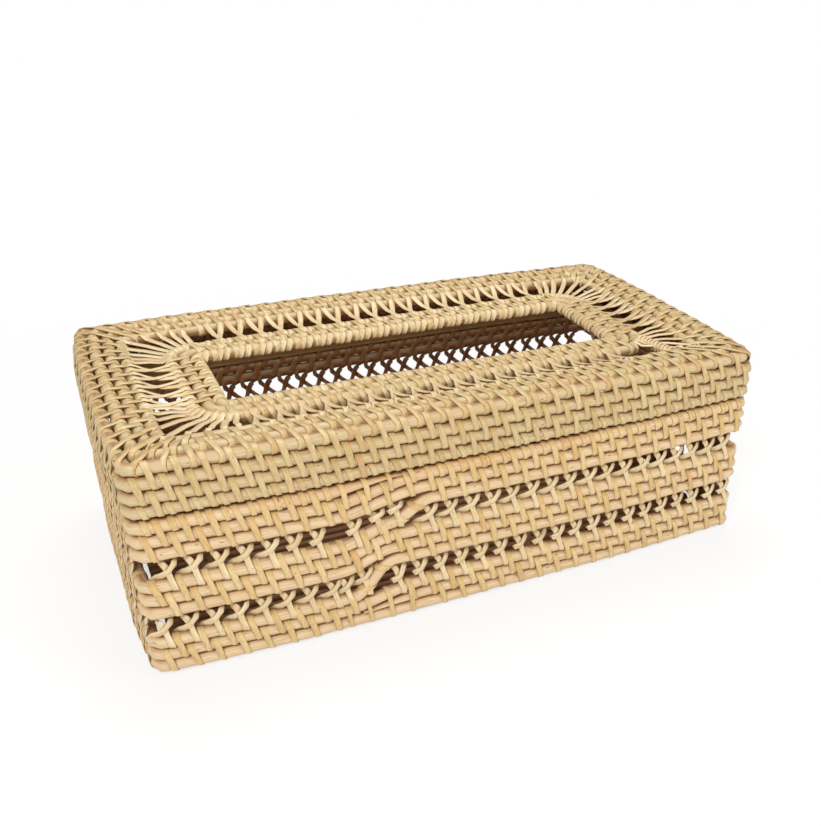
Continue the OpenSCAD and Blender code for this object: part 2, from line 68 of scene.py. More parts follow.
# How far the lid's edge cane is eased in, the lid's gap on the rim and the foot's on the ground
EDGE_EASE, LID_SEAT, FOOT_CLEAR = 1.2, 0.3, 0.2
STEP_CANE = 3.8
# Turns of the coil over the foot cane, rows of cane in a closed band, and a turn's climb
TURNS, BAND_ROWS = 8, 3
CLIMB_START, CLIMB_END = -6.75 * SPACE, -2.75 * SPACE
# How far even rows of stitches keep from the climb
CLIMB_CLEAR = 1.5
# Share of the climb on which the coil's ends grow thin, and what is left at their tips
TAPER_SHARE, TIP = 0.75, 0.12

# Sway of a cane off its true line, and its waves in one round
SWAY = 0.16
SWAY_WAVES = (5.0, 11.0, 23.0)
# Canes are a little fuller than the solids and swell along their length
FULL = 1.055
SWELL, SWELL_RATE = 0.012, 0.9
# Strips are thin and lie close
STRIP, STRIP_PLAY = 0.36, 0.02
# How far the lid's top sags at its slot, the share of it at the outer cane and from cane to cane
DISH = 3.4
DISH_START, DISH_STEP = 0.1, 0.2
# Where the coil steps up: across the lower open row, between the rows, across the upper one
FIRST_STEP = (-53.0, -37.0)
MIDDLE_CLIMB = (-57.0, -37.0)
SECOND_STEP = (-38.0, -21.0)
# Stretch beside a corner on which the stitches of two canes fan out
CORNER_FAN = 22.0
# How far stitches, lace and the lid's crossing strands keep from the middle of a corner
STITCH_CLEAR, LACE_CLEAR, CROSSING_CLEAR = 2.0, 2.6, 12.0
# The middle of the inside that painted inner shade is reckoned from, in reach each way and height,
# and where the lid's top begins
MIDDLE_X, MIDDLE_Y, MIDDLE_Z = 92.0, 34.0, 30.0
TOP_FROM = 76.0
# How fast painted shade darkens a surface as it turns inwards, and from where: on the walls, on the
# lid's top
INWARD_SHADE_RATE, INWARD_SHADE_FROM, INWARD_SHADE_FROM_TOP = 1.6, 0.1, 0.5
# From where on a cane's side painted shade darkens it against its neighbours, and how dark it is
SEAM_SHADE_FROM, SEAM_SHADE_DEPTH = 0.8, 0.9
# Spread of a cane's tint, and of each strip's lightness, warmth, slant, place and width
TINT_SPREAD = 0.06
LIGHT_SPREAD, WARM_SPREAD = 0.22, 0.18
SLANT_SPREAD, PLACE_SPREAD, WIDTH_SPREAD = 0.25, 0.16, 0.05
STRAND_SHAKE = 0.2
# Random start of a strip's grain along and across it
GRAIN_START, GRAIN_DEPTH = 900, 60
# Steps of a plan line and of the rings of a hoop and of the coil, then rings and sides of tubes
LINE_STEP, HOOP_STEP, COIL_STEP = 1.5, 2.9, 3.0
CANE_SIDES, LOOP_RINGS, WRAP_RINGS, STRAND_RINGS, FAN_RINGS = 12, 14, 12, 15, 13
UPWARDS = np.array([0, 0, 1.0])


def unit(v):
    """Vectors drawn out or in to length 1."""
    return v / np.maximum(np.linalg.norm(v, axis=-1, keepdims=True), 1e-9)


# Plan lines

def soft_angle(run, bow):
    """How far a soft bend turns to ease a flat stretch into a bow over a run."""
    rise = SOFT_BEND - bow
    return math.atan2(run, rise) - math.atan2(
        math.sqrt(run * run + rise * rise - SOFT_BEND**2), SOFT_BEND)


SIDE_ANGLE = soft_angle(LENGTH / 2 - END_BOW - SIDE_FLAT, SIDE_BOW)
END_ANGLE = soft_angle(WIDTH / 2 - SIDE_BOW - END_FLAT, END_BOW)


class Line:
    """A closed line in plan, run counter-clockwise from the middle of the front."""

    def __init__(self, start, quarter):
        half = quarter + quarter[::-1]
        s, x, y, h = [0.0], [0.0], [start], [0.0]
        for length, turn in half + half:
            count = max(1, math.ceil(length / LINE_STEP))
            step, bend = length / count, turn / count
            chord = step * (math.sin(bend / 2) / (bend / 2) if turn else 1)
            for _ in range(count):
                middle = h[-1] + bend / 2
                x.append(x[-1] + chord * math.cos(middle))
                y.append(y[-1] + chord * math.sin(middle))
                h.append(h[-1] + bend)
                s.append(s[-1] + step)
        self.s, self.x, self.y, self.h = (np.array(v) for v in (s, x, y, h))
        self.length = s[-1]
        self.quarter = self.length / 4
        sharpest = max(range(len(quarter)), key=lambda i: quarter[i][1])
        self.bend_start = sum(q[0] for q in quarter[:sharpest])
        self.bend_end = self.bend_start + quarter[sharpest][0]

    def at(self, s):
        """Positions and headings at distances s from the middle of the front."""
        w = np.mod(s, self.length)
        xy = np.stack([np.interp(w, self.s, self.x), np.interp(w, self.s, self.y)], -1)
        return xy, np.interp(w, self.s, self.h)

    def match(self, s, other):
        """Distances on another line for the same places: level on the sides, fanned at corners."""
        q = np.floor(np.mod(s, self.length) / self.quarter)
        w = np.mod(s, self.length) - q * self.quarter
        odd = np.mod(q, 2) == 1
        w = np.where(odd, self.quarter - w, w)
        here = [0, self.bend_start - CORNER_FAN, self.bend_start, self.bend_end,
                self.bend_end + CORNER_FAN, self.quarter]
        there = [0, self.bend_start - CORNER_FAN, other.bend_start, other.bend_end,
                 other.quarter - (self.quarter - self.bend_end - CORNER_FAN), other.quarter]
        w = np.interp(w, here, there)
        w = np.where(odd, other.quarter - w, w)
        return q * other.quarter + w


def bowed_line(inset, bend):
    """The line of a wall or top cane at an inset, with its corner bend's radius."""
    side_n = np.array([math.sin(SIDE_ANGLE), -math.cos(SIDE_ANGLE)])
    end_n = np.array([math.cos(END_ANGLE), -math.sin(END_ANGLE)])
    corner = np.array([LENGTH / 2 - END_BOW, SIDE_BOW - WIDTH / 2])
    k = corner - (inset + bend) * (side_n + end_n) / (1 + side_n @ end_n)
    side_centre = np.array([SIDE_FLAT, SOFT_BEND - WIDTH / 2])
    end_centre = np.array([LENGTH / 2 - SOFT_BEND, -END_FLAT])
    side_run = (k - side_centre) @ np.array([math.cos(SIDE_ANGLE), math.sin(SIDE_ANGLE)])
    end_run = (end_centre - k) @ np.array([math.sin(END_ANGLE), math.cos(END_ANGLE)])
    r = SOFT_BEND - inset
    turn = math.pi / 2 - SIDE_ANGLE - END_ANGLE
    return Line(inset - WIDTH / 2, [
        (SIDE_FLAT, 0), (r * SIDE_ANGLE, SIDE_ANGLE), (side_run, 0), (bend * turn, turn),
        (end_run, 0), (r * END_ANGLE, END_ANGLE), (END_FLAT, 0)])


def straight_line(corner, bend):
    """The line of a cane round the slot, from its corner bend's centre and radius."""
    return Line(-corner[1] - bend, [
        (corner[0], 0), (bend * math.pi / 2, math.pi / 2), (corner[1], 0)])


# Canes

class Cane:
    """A round cane along a line at a height, swaying slightly as real cane does."""

    def __init__(self, line, level, radius):
        self.line, self.level, self.radius = line, level, radius
        self.waves = np.array(SWAY_WAVES) * 2 * math.pi / line.length
        self.phases = rng.uniform(0, 2 * math.pi, (2, len(SWAY_WAVES)))

    def centre(self, s):
        """The cane's middle at distances s along its line."""
        s = np.asarray(s, float)
        xy, h = self.line.at(s)
        depth = SWAY / len(SWAY_WAVES)
        sway = [depth * np.sin(s[..., None] * self.waves + p).sum(-1) for p in self.phases]
        out = np.stack([np.sin(h), -np.cos(h)], -1)
        z = self.level(s) if callable(self.level) else np.full(s.shape, self.level)
        return np.concatenate([xy + out * sway[0][..., None], (z + sway[1])[..., None]], -1)

    def along(self, s):
        """The way the cane runs in plan."""
        h = self.line.at(s)[1]
        return np.stack([np.cos(h), np.sin(h), np.zeros_like(h)], -1)

    def heading(self, s):
        """The way the cane runs, with its rise."""
        s, near = np.asarray(s, float), 0.5
        return unit(self.centre(s + near) - self.centre(s - near))


base_inset = SKIN + BASE_R
base_line = bowed_line(base_inset, BASE_R + BEND_INSIDE)
foot_level = FOOT_CLEAR + SKIN + BASE_R


def level(k):
    """Height of turn k behind its climb; turn 0 is the foot cane. Each band ends in an open row."""
    open_rows = k // BAND_ROWS
    return foot_level + k * BASE_PITCH + open_rows * (BASE_CANE + OPEN_ROW - BASE_PITCH)


def soft(s, start, end):
    """Rises softly from 0 at one place to 1 at another."""
    share = np.clip((s - start) / (end - start), 0, 1)
    return share * share * (3 - 2 * share)


def coil_level(s):
    """Height of the base's coil at distance s along it. Turn 3 steps across the lower open row,
    4 and 5 climb early beside it, and 6 climbs early and then steps across the upper one."""
    turn = np.clip(np.floor((s - CLIMB_START) / base_line.length), 0, TURNS - 1)
    u = s - turn * base_line.length
    k = turn + 1
    low, high = level(k - 1), level(k)
    early = soft(u, *MIDDLE_CLIMB)
    z = low + (high - low) * soft(u, CLIMB_START, CLIMB_END)
    z = np.where(k == 3, low + (high - low) * soft(u, *FIRST_STEP), z)
    z = np.where((k == 4) | (k == 5), low + (high - low) * early, z)
    steep = low + BASE_PITCH * early + (high - low - BASE_PITCH) * soft(u, *SECOND_STEP)
    z = np.where(k == 6, steep, z)
    return np.where(k == 1, level(1), z)


foot = Cane(base_line, level(0), BASE_R)
coil = Cane(base_line, coil_level, BASE_R)


def on_turn(k, s):
    """Distance along the coil of turn k at distance s from the middle of the front."""
    s = np.mod(s - CLIMB_START, base_line.length) + CLIMB_START
    return s + (k - 1) * base_line.length


def turn_centre(k, s):
    """Centre of turn k, or of the foot cane, at distance s from the middle of the front."""
    return foot.centre(s) if k == 0 else coil.centre(on_turn(k, s))


lid_inset = SKIN + LID_R
edge_run = math.sqrt(LID_PITCH**2 - EDGE_EASE**2)
rim_top = level(8) + BASE_R + SKIN
skirt_level = rim_top + LID_SEAT + SKIN + LID_R
edge_level = skirt_level + 2 * LID_PITCH + edge_run
top_level = edge_level + EDGE_EASE
edge_inset = lid_inset + EDGE_EASE
top_inset = edge_inset + edge_run
inner_inset = top_inset + 2 * LID_PITCH
slot_inset = inner_inset + LID_CANE + LID_OPEN_ROW
tight = LID_R + TIGHT_INSIDE
wall_bend = base_inset + BASE_R + BEND_INSIDE
slot_corner = [LENGTH / 2 - slot_inset - 2 * LID_PITCH - tight,
               WIDTH / 2 - slot_inset - 2 * LID_PITCH - tight]

skirt_line = bowed_line(lid_inset, wall_bend - lid_inset)
skirts = [Cane(skirt_line, skirt_level + i * LID_PITCH, LID_R) for i in range(3)]
edge = Cane(bowed_line(edge_inset, wall_bend - edge_inset), edge_level, LID_R)
tops = [Cane(bowed_line(top_inset + i * LID_PITCH, tight),
             top_level - DISH * (DISH_START + DISH_STEP * i), LID_R) for i in range(3)]
slot_level = top_level - DISH
slots = [Cane(straight_line(slot_corner, tight + (2 - i) * LID_PITCH), slot_level, LID_R)
         for i in range(3)]


# Meshes

def ring_template(rings, sides, closed):
    """A tube of rings made with operators, and each vertex's place along and around it."""
    bm = bmesh.new()
    bmesh.ops.create_circle(bm, segments=sides, radius=0.2)
    turn = Matrix.Rotation(math.pi / 2, 4, "X")
    bmesh.ops.transform(bm, matrix=Matrix.Translation((1, 0, 0)) @ turn, verts=bm.verts[:])
    angle = 2 * math.pi if closed else math.pi
    steps = rings if closed else rings - 1
    bmesh.ops.spin(bm, geom=bm.verts[:] + bm.edges[:], cent=(0, 0, 0), axis=(0, 0, 1),
                   angle=angle, steps=steps, use_merge=closed)
    if not closed:
        rim = [e for e in bm.edges if len(e.link_faces) == 1]
        bmesh.ops.holes_fill(bm, edges=rim, sides=sides)
    mesh = bpy.data.meshes.new("rings")
    bm.to_mesh(mesh)
    bm.free()
    co = np.array([v.co for v in mesh.vertices])
    ahead = np.arctan2(co[:, 1], co[:, 0])
    ahead = np.where(ahead < -math.pi / (2 * steps), ahead + 2 * math.pi, ahead)
    where = np.round(ahead / (angle / steps)).astype(int)
    around = np.arctan2(co[:, 2], np.hypot(co[:, 0], co[:, 1]) - 1)
    # With a cane's 12 sides the points lie on whole steps. With a strip's 6 they lie halfway
    # between two, so rounding takes some points of its section twice and leaves others out.
    side = np.round(around / (2 * math.pi / sides)).astype(int) % sides
    return mesh, where % rings if closed else where, side


TEMPLATES = {}


def assemble(name, parts, body, material, replaced):
    """One piece from groups of tubes. A group holds its tubes' points (count, rings, sides, 3),
    their grain and tone, and whether they close."""
    bm = bmesh.new()
    points, grains, tones = [], [], []
    for p, grain, tone, closed in parts:
        count, rings, sides = p.shape[:3]
        key = (rings, sides, closed)
        if key not in TEMPLATES:
            TEMPLATES[key] = ring_template(*key)
        mesh, where, side = TEMPLATES[key]
        for _ in range(count):
            bm.from_mesh(mesh)
        for target, values in ((points, p), (grains, grain), (tones, tone)):
            target.append(np.broadcast_to(values, p.shape)[:, where, side].reshape(-1, 3))
    mesh = bpy.data.meshes.new(name)
    bm.to_mesh(mesh)
    bm.free()
    mesh.vertices.foreach_set("co", (np.concatenate(points) * MM).astype(np.float32).ravel())
    bm = bmesh.new()
    bm.from_mesh(mesh)
    bmesh.ops.recalc_face_normals(bm, faces=bm.faces[:])
    bm.to_mesh(mesh)
    bm.free()
    for label, values in (("grain", grains), ("tone", tones)):
        layer = mesh.attributes.new(label, "FLOAT_VECTOR", "POINT")
        layer.data.foreach_set("vector", np.concatenate(values).astype(np.float32).ravel())
    mesh.polygons.foreach_set("use_smooth", np.ones(len(mesh.polygons), bool))
    mesh.materials.append(material)
    piece = bpy.data.objects.new(name, mesh)
    bpy.context.scene.collection.objects.link(piece)
    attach(piece, body)
    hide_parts(*replaced)


def inner_shade_share(points, normals):
    """Painted shade by how far a surface faces the inside of the box, 0 to 1."""
    middle = np.stack([np.clip(points[..., 0], -MIDDLE_X, MIDDLE_X),
                       np.clip(points[..., 1], -MIDDLE_Y, MIDDLE_Y),
                       np.full(points.shape[:-1], MIDDLE_Z)], -1)
    # The canes of the lid's top get painted shade only further down than the walls
    pale = np.where(points[..., 2] > TOP_FROM, INWARD_SHADE_FROM_TOP, INWARD_SHADE_FROM)
    share = np.clip((unit(middle - points) * normals).sum(-1) * INWARD_SHADE_RATE - pale, 0, 1)
    return share * share * (3 - 2 * share)


def cane_tube(cane, s, closed, tone, warm=0.3, seam_shades=(0, 1), squash=None):
    """Rings along a cane. seams says how much painted shade darkens it at its sides and at its top
    and bottom, where it lies against its neighbours. squash is each ring's share of full height and
    its shift."""
    centre, ahead = cane.centre(s), cane.heading(s)
    out = unit(np.cross(ahead, UPWARDS))
    up = np.cross(out, ahead)
    angle = np.arange(CANE_SIDES) * 2 * math.pi / CANE_SIDES
    high, lift = squash or (np.ones(len(s)), np.zeros(len(s)))
    swell = FULL + SWELL * np.sin(s * SWELL_RATE + cane.phases[0, 0])
    r = (cane.radius * swell)[:, None]
    p = (centre[:, None] + (r * np.cos(angle))[..., None] * out[:, None]
         + (r * np.sin(angle) * high[:, None] + lift[:, None])[..., None] * up[:, None])
    grain = np.empty(p.shape)
    grain[..., 0] = s[:, None]
    grain[..., 1] = cane.radius * np.cos(angle)
    grain[..., 2] = cane.radius * np.sin(angle)
    tones = np.empty(p.shape)
    tones[..., 0] = tone
    tones[..., 1] = np.broadcast_to(warm, len(s))[:, None] + rng.normal(0, TINT_SPREAD)
    # Painted shade on the sides where the cane lies against its neighbours; the darker of it and
    # the painted inner shade is kept
    seam_shade = seam_shades[0] * np.abs(np.cos(angle)) + seam_shades[1] * np.abs(np.sin(angle))
    seam_shade = SEAM_SHADE_DEPTH * np.clip((seam_shade - SEAM_SHADE_FROM) / (1 - SEAM_SHADE_FROM), 0, 1)
    tones[..., 2] = np.maximum(inner_shade_share(p, unit(p - centre[:, None])), seam_shade)
    return p[None], grain[None], tones[None], closed


# Section of a strip: across from edge to edge, and up from the cane
SECTION = np.array([(1.0, 0.2), (0.7, 0.95), (-0.7, 0.95), (-1.0, 0.2), (-0.8, 0.0), (0.8, 0.0)])
# Which way each point of the section faces
FACING = np.array([1.0, 1.0, 1.0, 1.0, -1.0, -1.0])


def strips(centres, normals, widths, closed, tones, thick=STRIP):
    """Flat crowned strips along centre lines (count, rings, 3) with outward normals. Their tones
    are lightness and warmth; painted shade, by how far each point faces inwards, comes third."""
    if closed:
        run = np.roll(centres, -1, 1) - np.roll(centres, 1, 1)
    else:
        run = np.gradient(centres, axis=1)
    run = unit(run)
    normals = unit(normals - (normals * run).sum(-1, keepdims=True) * run)
    across = np.cross(run, normals)
    widths = np.broadcast_to(widths, centres.shape[:2])[..., None, None]
    p = (centres[:, :, None] + across[:, :, None] * SECTION[:, :1] * widths / 2
         + normals[:, :, None] * SECTION[:, 1:] * thick)
    gaps = np.linalg.norm(np.diff(centres, axis=1), axis=-1)
    far = np.concatenate([np.zeros((len(centres), 1)), np.cumsum(gaps, 1)], 1)
    grain = np.empty(p.shape)
    grain[..., 0] = far[..., None] + rng.uniform(0, GRAIN_START, (len(centres), 1, 1))
    grain[..., 1] = SECTION[:, 0] * widths[..., 0] / 2
    grain[..., 2] = rng.uniform(0, GRAIN_DEPTH, (len(centres), 1, 1))
    shades = np.empty(p.shape)
    shades[..., :2] = tones[:, None, None, :]
    # Painted shade where a strip's side faces the inside of the box
    shades[..., 2] = inner_shade_share(p, normals[:, :, None] * FACING[:, None])
    return p, grain, shades, closed


def strip_tones(count, light=0.5, warm=0.3):
    """Lightness and warmth of each strip, varied at random."""
    lightness = np.clip(rng.normal(light, LIGHT_SPREAD, count), 0, 1)
    warmth = np.clip(rng.normal(warm, WARM_SPREAD, count), 0, 1)
    return np.stack([lightness, warmth], -1)


def places(line, shift, gap=None):
    """Distances of a row's stitches, shifted by a share of a space: level with each side's middle,
    evenly across the corners. None lies in the gap."""
    spots = []
    for k in range(4):
        reach = line.bend_start if k % 2 == 0 else line.quarter - line.bend_end
        n = math.ceil(reach / SPACE) + 1
        side = [(i + shift) * SPACE for i in range(-n, n + 1)]
        spots.append([k * line.quarter + t for t in side if abs(t) <= reach])
    out = []
    for k in range(4):
        out += spots[k]
        ahead = spots[(k + 1) % 4][0] + (line.length if k == 3 else 0)
        room = ahead - spots[k][-1]
        extra = round(room / SPACE) - 1
        out += [spots[k][-1] + room * (i + 1) / (extra + 1) for i in range(extra)]
    out = away_from_bends(line, np.array(out), STITCH_CLEAR)
    out = np.where(out > line.length - line.quarter, out - line.length, out)
    if gap:
        out = out[(out < gap[0]) | (out > gap[1])]
    return np.sort(out)


def away_from_bends(line, spots, margin):
    """The spots that lie at least a margin from the middle of every corner."""
    middle = 0.5 * (line.bend_start + line.bend_end)
    w = np.mod(spots, 2 * line.quarter)
    near = np.minimum(np.abs(w - middle), np.abs(w - (2 * line.quarter - middle)))
    return spots[near > margin]


def loop_path(a, b, ahead, radius, slant):
    """Loops round two canes at centres a and b: their centre lines and outward normals."""
    up = unit(b - a)
    face = unit(np.cross(ahead, up))
    half_loop = LOOP_RINGS // 2
    angle = np.concatenate([np.linspace(0, math.pi, half_loop),
                            np.linspace(math.pi, 2 * math.pi, half_loop)])
    at_b = np.arange(LOOP_RINGS) < half_loop
    normal = (np.cos(angle)[:, None] * face[:, None] + np.sin(angle)[:, None] * up[:, None])
    centre = np.where(at_b[:, None], b[:, None], a[:, None]) + normal * radius
    middle = (a + b)[:, None] / 2
    high = ((centre - middle) * up[:, None]).sum(-1)
    half = np.linalg.norm(b - a, axis=-1)[:, None] / 2 + radius
    centre = centre - ahead[:, None] * (np.asarray(slant)[..., None] * high / half / 2)[..., None]
    return centre, normal


def lash(a, b, ahead, radius, width=(2.4, 2.9), slant=2.9, light=0.5, warm=0.3):
    """Lashings round pairs of canes, as one group of tubes."""
    count = len(a)
    slants = slant + rng.normal(0, SLANT_SPREAD, count)
    nudge = rng.normal(0, PLACE_SPREAD, (count, 1)) * ahead
    centre, normal = loop_path(a + nudge, b + nudge, ahead, radius * FULL + STRIP_PLAY, slants)
    widths = rng.uniform(*width, (count, 1))
    widths = widths * (1 + WIDTH_SPREAD * rng.normal(0, 1, (count, LOOP_RINGS)))
    return strips(centre, normal, widths, True, strip_tones(count, light, warm))


def wind(a, ahead, radius, width=(2.3, 2.8), slant=1.2, light=0.6, warm=0.3):
    """Single wraps round one cane."""
    angle = np.arange(WRAP_RINGS) * 2 * math.pi / WRAP_RINGS
    face = unit(np.cross(ahead, UPWARDS))
    up = np.cross(face, ahead)
    normal = np.cos(angle)[:, None] * face[:, None] + np.sin(angle)[:, None] * up[:, None]
    centre = a[:, None] + normal * (radius * FULL + STRIP_PLAY)
    centre = centre - ahead[:, None] * (slant * np.sin(angle) / 2)[:, None]
    widths = rng.uniform(*width, (len(a), 1))
    return strips(centre, normal, widths, True, strip_tones(len(a), light, warm))


def smooth_path(keys, count):
    """Points evenly spaced on a soft curve through key points (count, keys, n)."""
    n = keys.shape[1]
    before, beyond = 2 * keys[:, :1] - keys[:, 1:2], 2 * keys[:, -1:] - keys[:, -2:-1]
    padded = np.concatenate([before, keys, beyond], 1)
    t = np.linspace(0, n - 1, count)
    i = np.minimum(t.astype(int), n - 2)
    f = (t - i)[:, None]
    p0, p1, p2, p3 = (padded[:, i + j] for j in range(4))
    return 0.5 * (2 * p1 + (p2 - p0) * f + (2 * p0 - 5 * p1 + 4 * p2 - p3) * f**2
                  + (3 * p1 - p0 - 3 * p2 + p3) * f**3)


def strands(a, b, ahead, keys, width, light, warm):
    """Strands that cross an open row from cane a to cane b.
    A key: along, towards the face, from a towards b in millimetres or from b where marked, and the
    strip's normal towards the face and towards b."""
    up = unit(b - a)
    face = unit(np.cross(ahead, up))
    far = np.linalg.norm(b - a, axis=-1)
    points, normals = [], []
    shake = rng.normal(0, STRAND_SHAKE, (len(a), 3))
    for along, out, rise, from_b, n_out, n_up in keys:
        rise = (far if from_b else np.zeros(len(a))) + rise
        points.append(a + ahead * (along + shake[:, :1]) + face * out + up * rise[:, None])
        normals.append(face * n_out + up * n_up)
    centre = smooth_path(np.stack(points, 1), STRAND_RINGS)
    normal = smooth_path(np.stack(normals, 1), STRAND_RINGS)
    widths = rng.uniform(*width, (len(a), 1))
    return strips(centre, normal, widths, False, strip_tones(len(a), light, warm))


def falling_strand(r, lean=1.9):
    """Keys of the strand that comes down from behind cane b, over cane a, into the gap below it."""
    return [
        (-lean - 0.5, -r - 0.25, 0.4, 1, -1, 0), (-lean - 0.4, -0.75 * r, -0.85 * r, 1, -0.7, -0.7),
        (-lean, -0.2, -r - 0.5, 1, 0.5, -0.8), (-lean * 0.55, 0.35, -r - 2.4, 1, 1, -0.1),
        (0.0, 0.7, r + 3.0, 0, 1, 0.1), (lean * 0.4, 0.72 * r + 0.2, 0.95 * r, 0, 0.8, 0.5),
        (lean * 0.75, r + 0.15, 0, 0, 1, 0), (lean, 0.75 * r, -0.8 * r, 0, 0.75, -0.7),
        (lean + 0.1, -0.2, -r - 0.25, 0, 0, -1), (lean + 0.1, -0.8 * r, -0.7 * r, 0, -0.8, -0.7)]


def rising_strand(r, reach=3.7, top=2.9):
    """Keys of the pale strand that comes up behind cane a, then curves across and behind cane b."""
    return [
        (-reach - 2.6, -r - 0.4, -0.1 * r, 0, 1, 0),
        (-reach - 1.2, -r - 0.1, 0.75 * r, 0, 1, 0.2),
        (-reach, -0.5 * r, r + 0.8, 0, 1, 0.4), (-reach * 0.5, 0.4, r + 1.9, 0, 1, 0.3),
        (-reach * 0.1, 1.15, r + 3.1, 0, 1, 0.15), (0.8, 1.2, r + 4.5, 0, 1, 0),
        (top * 0.75, 0.95, -r - 2.0, 1, 1, -0.1),
        (top * 0.9, 0.3, -r - 0.4, 1, 0.6, -0.8), (top, -0.7 * r, -0.85 * r, 1, -0.7, -0.7),
        (top, -r - 0.3, 0.2, 1, -1, 0)]


def hooked_strand(r):
    """Keys of the strand that hooks round its neighbour where the lower open row is narrow."""
    return [
        (0.6, -0.9, r + 1.1, 0, -1, 0), (-1.6, -0.5, r + 1.7, 0, -0.5, 0.6),
        (-2.5, 0.45, r + 2.3, 0, 0.6, 0.5), (-1.2, 1.15, r + 2.7, 0, 1, 0.2),
        (0.5, 1.25, r + 3.9, 0, 1, 0), (1.8, 0.9, -r - 2.0, 1, 1, 0),
        (2.3, 0.3, -r - 0.4, 1, 0.6, -0.8), (2.4, -0.7 * r, -0.85 * r, 1, -0.7, -0.7),
        (2.4, -r - 0.3, 0.2, 1, -1, 0)]


# Materials

def linear(code):
    """A colour from its hex code."""
    rgb = [int(code[i:i + 2], 16) / 255 for i in (0, 2, 4)]
    return tuple(c / 12.92 if c <= 0.04045 else ((c + 0.055) / 1.055) ** 2.4 for c in rgb) + (1.0,)


class Value:
    """A socket that shader maths is written with."""

    def __init__(self, finish, socket):
        self.finish, self.socket = finish, socket

    def _math(self, operation, *values, clamp=False):
        node = self.finish.node("ShaderNodeMath", {"operation": operation, "use_clamp": clamp},
                                dict(enumerate(values)))
        return Value(self.finish, node.outputs[0])

    def __add__(self, other):
        return self._math("ADD", self, other)

    def __sub__(self, other):
        return self._math("SUBTRACT", self, other)

    def __mul__(self, other):
        return self._math("MULTIPLY", self, other)

    def __rsub__(self, other):
        return self._math("SUBTRACT", other, self)

    __radd__, __rmul__ = __add__, __mul__

    def clamp(self):
        """Kept between 0 and 1."""
        return self._math("ADD", self, 0.0, clamp=True)

    def absolute(self):
        return self._math("ABSOLUTE", self)

    def step(self, low, high):
        """Rises smoothly from 0 at low to 1 at high."""
        node = self.finish.node("ShaderNodeMapRange", {"interpolation_type": "SMOOTHSTEP"},
                                {0: self, 1: low, 2: high, 3: 0.0, 4: 1.0})
        return Value(self.finish, node.outputs[0])


class Finish:
    """A material under construction."""

    def __init__(self, name):
        self.material = bpy.data.materials.new(name)
        self.material.use_nodes = True
        self.tree = self.material.node_tree
        self.shader = self.tree.nodes["Principled BSDF"]

    def node(self, kind, settings=None, inputs=None):
        """A new node with its settings, and values or links on its inputs."""
        node = self.tree.nodes.new(kind)
        for key, value in (settings or {}).items():
            setattr(node, key, value)
        for key, value in (inputs or {}).items():
            self.put(node.inputs[key], value)
        return node

    def put(self, socket, value):
        """Links a value to a socket, or sets a constant on it."""
        if isinstance(value, Value):
            self.tree.links.new(value.socket, socket)
        else:
            socket.default_value = value

    def set(self, **values):
        """Sets the shader's sockets by name, with _ for a space."""
        for key, value in values.items():
            self.put(self.shader.inputs[key.replace("_", " ")], value)

    def attribute(self, name):
        """A value that the mesh holds at each point."""
        node = self.node("ShaderNodeAttribute", {"attribute_name": name})
        return Value(self, node.outputs["Vector"])

    def object_place(self):
        """The place on the object, in metres."""
        return Value(self, self.node("ShaderNodeTexCoord").outputs["Object"])

    def parts(self, vector):
        node = self.node("ShaderNodeSeparateXYZ", None, {0: vector})
        return [Value(self, out) for out in node.outputs]

    def scaled(self, vector, scale):
        node = self.node("ShaderNodeVectorMath", {"operation": "MULTIPLY"}, {0: vector, 1: scale})
        return Value(self, node.outputs[0])

    def noise(self, vector, detail=2.0, rough=0.5):
        """Soft random values about 0.5 at a place."""
        node = self.node("ShaderNodeTexNoise", None,
                         {"Vector": vector, "Scale": 1.0, "Detail": detail, "Roughness": rough})
        return Value(self, node.outputs[0])

    def mix(self, share, a, b):
        """Colour a, with a share of colour b."""
        node = self.node("ShaderNodeMix", {"data_type": "RGBA"}, {0: share, 6: a, 7: b})
        return Value(self, node.outputs[2])

    def bump(self, height, strength, distance):
        """Gives the surface fine relief from a height, with its depth in metres."""
        node = self.node("ShaderNodeBump", None,
                         {"Strength": strength, "Distance": distance, "Height": height})
        self.put(self.shader.inputs["Normal"], Value(self, node.outputs[0]))


# Colours of nicks and cracks, and of the painted shade on sides that face inwards or lie against a
# neighbour
NICK, PAINTED_SHADE = "5c3a1c", "955823"
ROUGH, STRIP_ROUGH, PLAIN_ROUGH = 0.32, 0.24, 0.35


